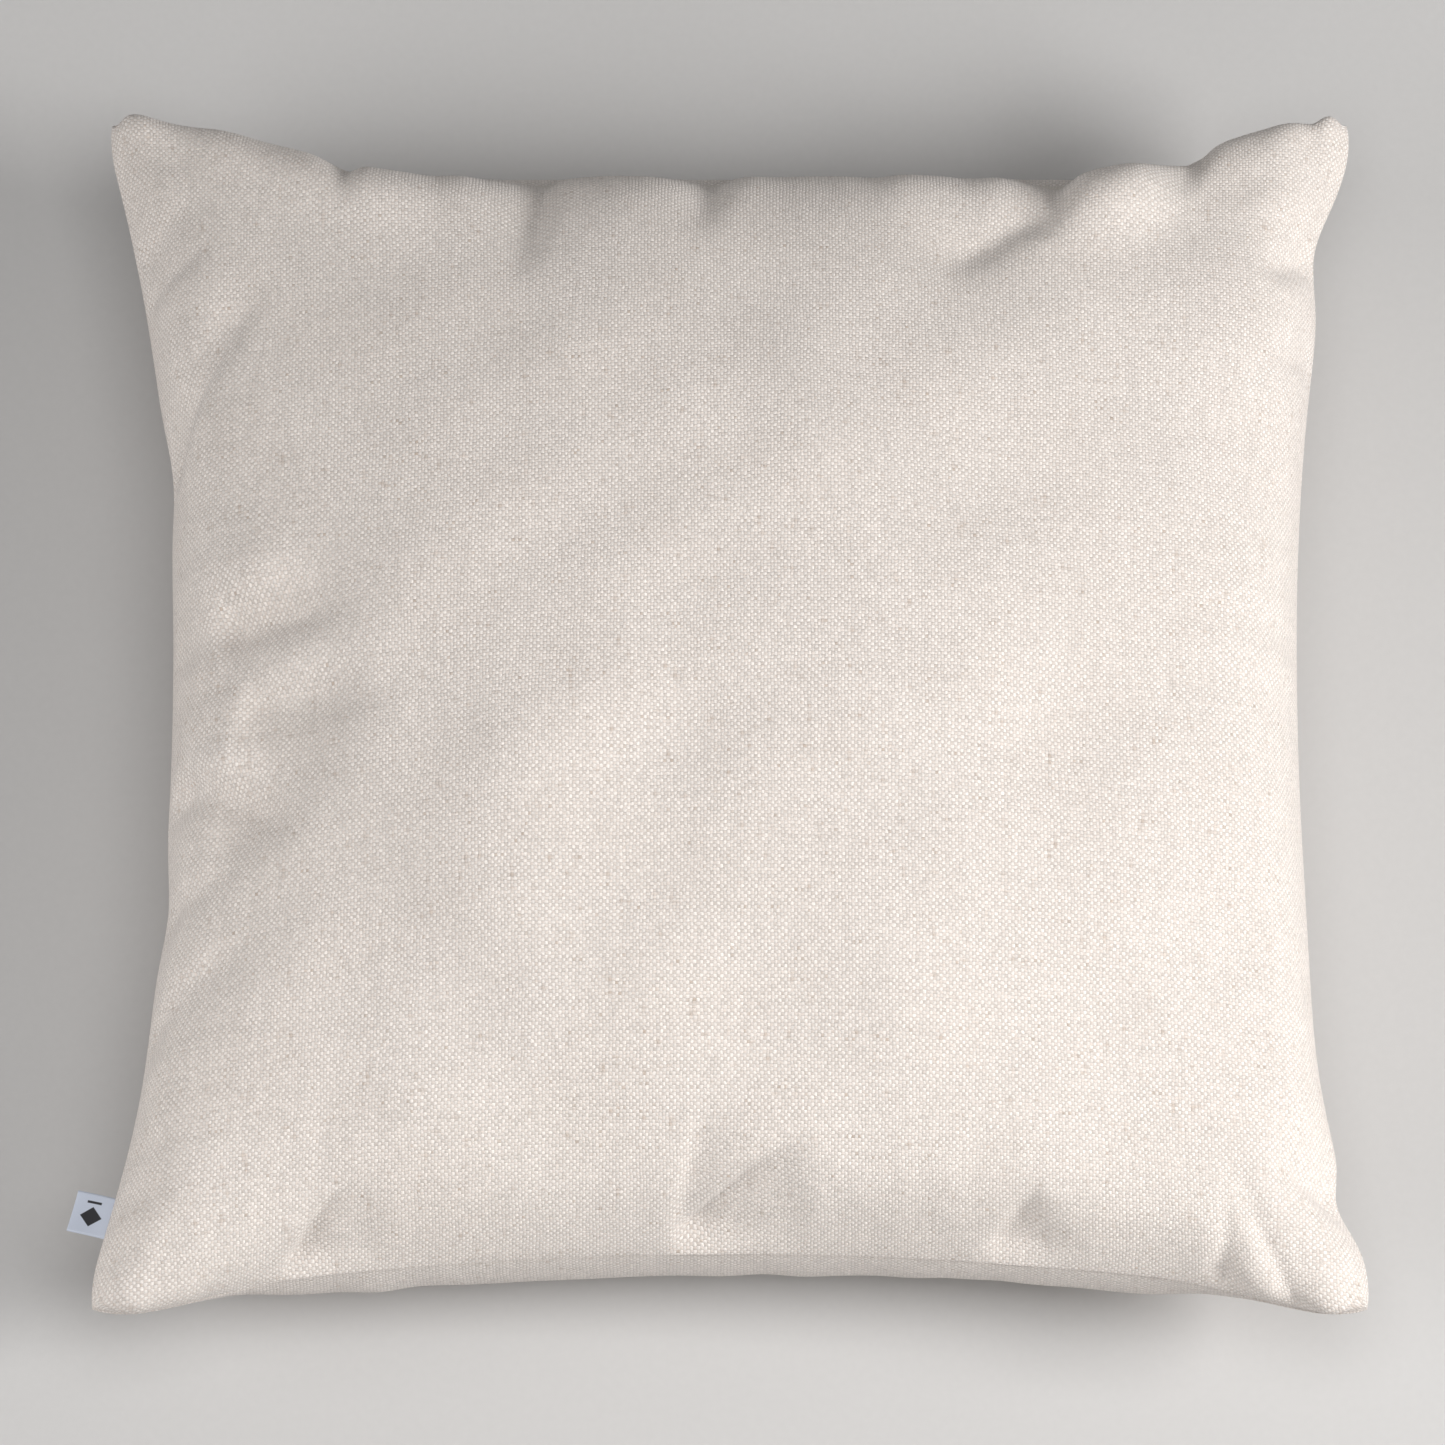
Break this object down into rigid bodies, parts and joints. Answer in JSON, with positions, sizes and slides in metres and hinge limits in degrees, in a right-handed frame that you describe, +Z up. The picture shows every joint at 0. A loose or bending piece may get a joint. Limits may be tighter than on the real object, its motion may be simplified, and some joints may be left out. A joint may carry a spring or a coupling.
{
  "type": "floor cushion",
  "caption": "square zipped floor cushion: plain woven cover with a folded side label over a sewn pad of fibre filling",
  "frame": {"origin": "the middle of the flat resting face, on the floor", "axes": "+Z up, +X toward the side with no label, +Y toward the zipped side; corner to corner the cover is as long along X as along Y, and the side label makes the part a little longer along X"},
  "size_m": [0.6028, 0.59, 0.18],
  "materials": {
    "cover_fabric": "plain linen-cotton weave, off-white with beige slubs, matte",
    "pad_fabric": "thin plain white casing, matte",
    "fibre": "white polyester fibre",
    "thread": "spun sewing thread matched to the cover",
    "zip_tape": "woven zip tape, beige",
    "zip_coil": "moulded coil, beige",
    "zip_metal": "plain nickel-coloured metal",
    "label_satin": "white satin tape with a soft sheen"
  },
  "bodies": {
    "cushion": {"cover_front_panel": "cover_fabric", "cover_back_panel": "cover_fabric", "seam_thread_near": "thread", "seam_thread_left": "thread", "seam_thread_right": "thread", "seam_thread_far_left": "thread", "seam_thread_far_right": "thread", "inner_pad_front": "pad_fabric", "inner_pad_back": "pad_fabric", "inner_pad_seam_thread": "thread", "fibre_filling": "fibre", "zip_tape_front": "zip_tape", "zip_tape_back": "zip_tape", "zip_coil_front": "zip_coil", "zip_coil_back": "zip_coil", "zip_top_stop_front": "zip_metal", "zip_top_stop_back": "zip_metal", "zip_bottom_stop": "zip_metal", "zip_bar_tack_left": "thread", "zip_bar_tack_right": "thread", "side_label": "label_satin", "care_label": "label_satin"},
    "slider": {"zip_slider": "zip_metal"},
    "pull": {"zip_pull": "zip_metal"}
  },
  "joints": [
    {"name": "zip_slide", "type": "slide", "parent": "cushion", "child": "slider", "axis": [-1, 0, 0], "range_m": [0, 0.38]},
    {"name": "pull_swing", "type": "hinge", "parent": "slider", "child": "pull", "pos_m": [0.1905, 0.2652, 0.08], "axis": [1, 0, 0], "range_deg": [0, 170]}
  ]
}
